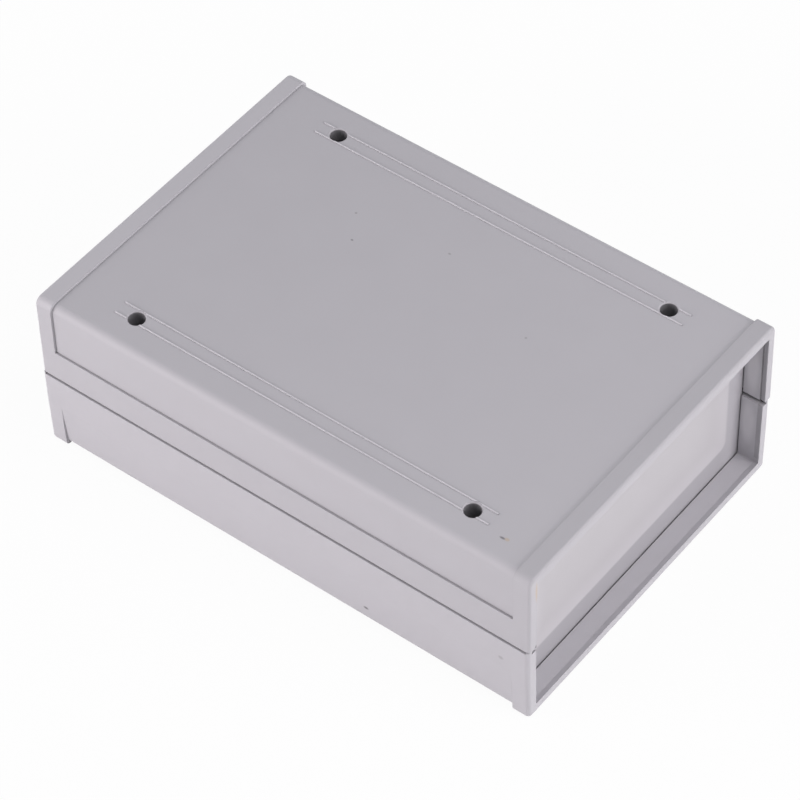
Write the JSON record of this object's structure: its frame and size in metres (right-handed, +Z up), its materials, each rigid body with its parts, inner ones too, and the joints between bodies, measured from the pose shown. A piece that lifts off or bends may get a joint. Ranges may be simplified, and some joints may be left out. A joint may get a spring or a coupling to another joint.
{
  "type": "instrument case",
  "caption": "Two-part moulded plastic project box, screw side up, with raised bands round both ends and a flat recessed panel closing each end.",
  "frame": {"origin": "middle of the case on the table plane under its feet", "axes": "+X along the length towards the front panel, +Y across the width, +Z up through the side with the screw holes"},
  "size_m": [0.2, 0.1344, 0.068],
  "materials": {
    "shell": "fine satin texture",
    "panel": "smooth satin",
    "screw": "zinc plated"
  },
  "bodies": {
    "tray": {"lower_shell": "shell"},
    "cover": {"upper_shell": "shell", "case_screws": "screw"},
    "front_plate": {"front_panel": "panel"},
    "rear_plate": {"rear_panel": "panel"}
  },
  "joints": [
    {"name": "cover_lift", "type": "slide", "parent": "tray", "child": "cover", "axis": [0, 0, 1], "range_m": [0, 0.072]},
    {"name": "front_panel_lift", "type": "slide", "parent": "tray", "child": "front_plate", "axis": [0, 0, 1], "range_m": [0, 0.036]},
    {"name": "rear_panel_lift", "type": "slide", "parent": "tray", "child": "rear_plate", "axis": [0, 0, 1], "range_m": [0, 0.036]}
  ],
  "couplings": [
    {"joint": "front_panel_lift", "follows": "cover_lift", "ratio": 0.5},
    {"joint": "rear_panel_lift", "follows": "cover_lift", "ratio": 0.5}
  ]
}
